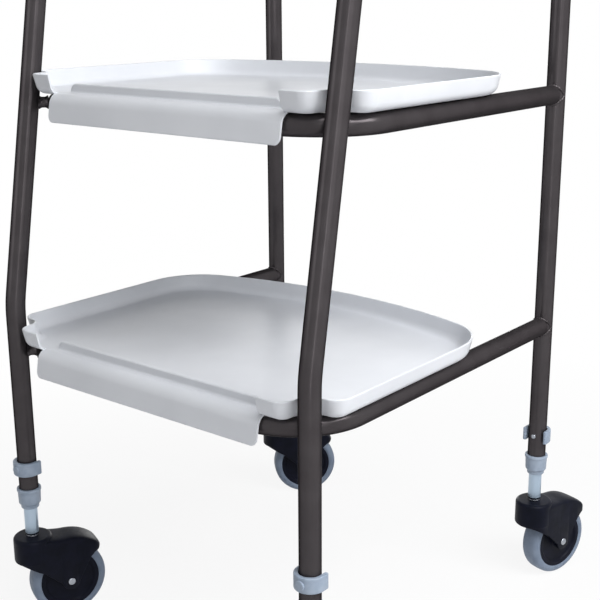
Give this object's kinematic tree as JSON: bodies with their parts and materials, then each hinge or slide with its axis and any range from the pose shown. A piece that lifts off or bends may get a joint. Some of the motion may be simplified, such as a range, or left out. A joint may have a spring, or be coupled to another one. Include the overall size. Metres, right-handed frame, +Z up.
{
  "type": "indoor walking trolley",
  "caption": "Indoor walker trolley: bent-tube frame with hand grips, stacked lift-off trays and height-adjustable legs on swivel castors.",
  "frame": {"origin": "on the floor, at the middle of the bounding box with the castors as they rest", "axes": "+Z up, +Y the way it is pushed, +X to the right of the user, who stands at -Y"},
  "size_m": [0.5091, 0.576, 0.868],
  "materials": {
    "frame_paint": "satin coat",
    "grip_rubber": "fine grain",
    "tray_plastic": "satin",
    "fitting_plastic": "satin",
    "inner_tube": "plated",
    "castor_plastic": "satin",
    "tyre_rubber": "satin",
    "steel": "plated"
  },
  "bodies": {
    "frame": {"right_hoop": "frame_paint", "left_hoop": "frame_paint", "upper_rail": "frame_paint", "lower_rail": "frame_paint", "corner_stubs": "frame_paint", "rail_welds": "frame_paint", "right_grip": "grip_rubber", "left_grip": "grip_rubber", "rear_right_ferrule": "fitting_plastic", "rear_left_ferrule": "fitting_plastic", "front_right_ferrule": "fitting_plastic", "front_left_ferrule": "fitting_plastic"},
    "upper_tray": {"upper_tray": "tray_plastic"},
    "lower_tray": {"lower_tray": "tray_plastic"},
    "rear_right_clip": {"rear_right_clip": "fitting_plastic", "rear_right_clip_pin": "steel"},
    "rear_right_leg": {"rear_right_extension": "inner_tube", "rear_right_guide": "fitting_plastic", "rear_right_plug": "castor_plastic", "rear_right_stem": "steel"},
    "rear_right_castor": {"rear_right_fork": "castor_plastic", "rear_right_axle": "steel"},
    "rear_right_wheel": {"rear_right_hub": "castor_plastic", "rear_right_tyre": "tyre_rubber"},
    "rear_left_clip": {"rear_left_clip": "fitting_plastic", "rear_left_clip_pin": "steel"},
    "rear_left_leg": {"rear_left_extension": "inner_tube", "rear_left_guide": "fitting_plastic", "rear_left_plug": "castor_plastic", "rear_left_stem": "steel"},
    "rear_left_castor": {"rear_left_fork": "castor_plastic", "rear_left_axle": "steel"},
    "rear_left_wheel": {"rear_left_hub": "castor_plastic", "rear_left_tyre": "tyre_rubber"},
    "front_right_clip": {"front_right_clip": "fitting_plastic", "front_right_clip_pin": "steel"},
    "front_right_leg": {"front_right_extension": "inner_tube", "front_right_guide": "fitting_plastic", "front_right_plug": "castor_plastic", "front_right_stem": "steel"},
    "front_right_castor": {"front_right_fork": "castor_plastic", "front_right_axle": "steel"},
    "front_right_wheel": {"front_right_hub": "castor_plastic", "front_right_tyre": "tyre_rubber"},
    "front_left_clip": {"front_left_clip": "fitting_plastic", "front_left_clip_pin": "steel"},
    "front_left_leg": {"front_left_extension": "inner_tube", "front_left_guide": "fitting_plastic", "front_left_plug": "castor_plastic", "front_left_stem": "steel"},
    "front_left_castor": {"front_left_fork": "castor_plastic", "front_left_axle": "steel"},
    "front_left_wheel": {"front_left_hub": "castor_plastic", "front_left_tyre": "tyre_rubber"}
  },
  "joints": [
    {"name": "upper_tray_lift", "type": "slide", "parent": "frame", "child": "upper_tray", "axis": [0, 0.1702, 0.9854], "range_m": [0, 0.05]},
    {"name": "lower_tray_lift", "type": "slide", "parent": "frame", "child": "lower_tray", "axis": [0, 0.1702, 0.9854], "range_m": [0, 0.05]},
    {"name": "rear_right_clip_pull", "type": "slide", "parent": "frame", "child": "rear_right_clip", "axis": [0, -1, 0], "range_m": [0, 0.03]},
    {"name": "rear_right_leg_slide", "type": "slide", "parent": "frame", "child": "rear_right_leg", "axis": [0, 0, -1], "range_m": [0, 0.125]},
    {"name": "rear_right_swivel", "type": "hinge", "parent": "rear_right_leg", "child": "rear_right_castor", "pos_m": [0.19797, -0.26376, 0.11], "axis": [0, 0, 1], "continuous": true},
    {"name": "rear_right_wheel_spin", "type": "hinge", "parent": "rear_right_castor", "child": "rear_right_wheel", "pos_m": [0.21642, -0.22906, 0.046], "axis": [0.8829, -0.4695, 0], "continuous": true},
    {"name": "rear_left_clip_pull", "type": "slide", "parent": "frame", "child": "rear_left_clip", "axis": [0, -1, 0], "range_m": [0, 0.03]},
    {"name": "rear_left_leg_slide", "type": "slide", "parent": "frame", "child": "rear_left_leg", "axis": [0, 0, -1], "range_m": [0, 0.125]},
    {"name": "rear_left_swivel", "type": "hinge", "parent": "rear_left_leg", "child": "rear_left_castor", "pos_m": [-0.22903, -0.26376, 0.11], "axis": [0, 0, 1], "continuous": true},
    {"name": "rear_left_wheel_spin", "type": "hinge", "parent": "rear_left_castor", "child": "rear_left_wheel", "pos_m": [-0.21367, -0.22758, 0.046], "axis": [0.9205, -0.3907, 0], "continuous": true},
    {"name": "front_right_clip_pull", "type": "slide", "parent": "frame", "child": "front_right_clip", "axis": [0, 1, 0], "range_m": [0, 0.03]},
    {"name": "front_right_leg_slide", "type": "slide", "parent": "frame", "child": "front_right_leg", "axis": [0, 0, -1], "range_m": [0, 0.125]},
    {"name": "front_right_swivel", "type": "hinge", "parent": "front_right_leg", "child": "front_right_castor", "pos_m": [0.19797, 0.19724, 0.11], "axis": [0, 0, 1], "continuous": true},
    {"name": "front_right_wheel_spin", "type": "hinge", "parent": "front_right_castor", "child": "front_right_wheel", "pos_m": [0.2088, 0.23502, 0.046], "axis": [0.9613, -0.2756, 0], "continuous": true},
    {"name": "front_left_clip_pull", "type": "slide", "parent": "frame", "child": "front_left_clip", "axis": [0, 1, 0], "range_m": [0, 0.03]},
    {"name": "front_left_leg_slide", "type": "slide", "parent": "frame", "child": "front_left_leg", "axis": [0, 0, -1], "range_m": [0, 0.125]},
    {"name": "front_left_swivel", "type": "hinge", "parent": "front_left_leg", "child": "front_left_castor", "pos_m": [-0.22903, 0.19724, 0.11], "axis": [0, 0, 1], "continuous": true},
    {"name": "front_left_wheel_spin", "type": "hinge", "parent": "front_left_castor", "child": "front_left_wheel", "pos_m": [-0.20273, 0.22645, 0.046], "axis": [0.7431, -0.6691, 0], "continuous": true}
  ]
}
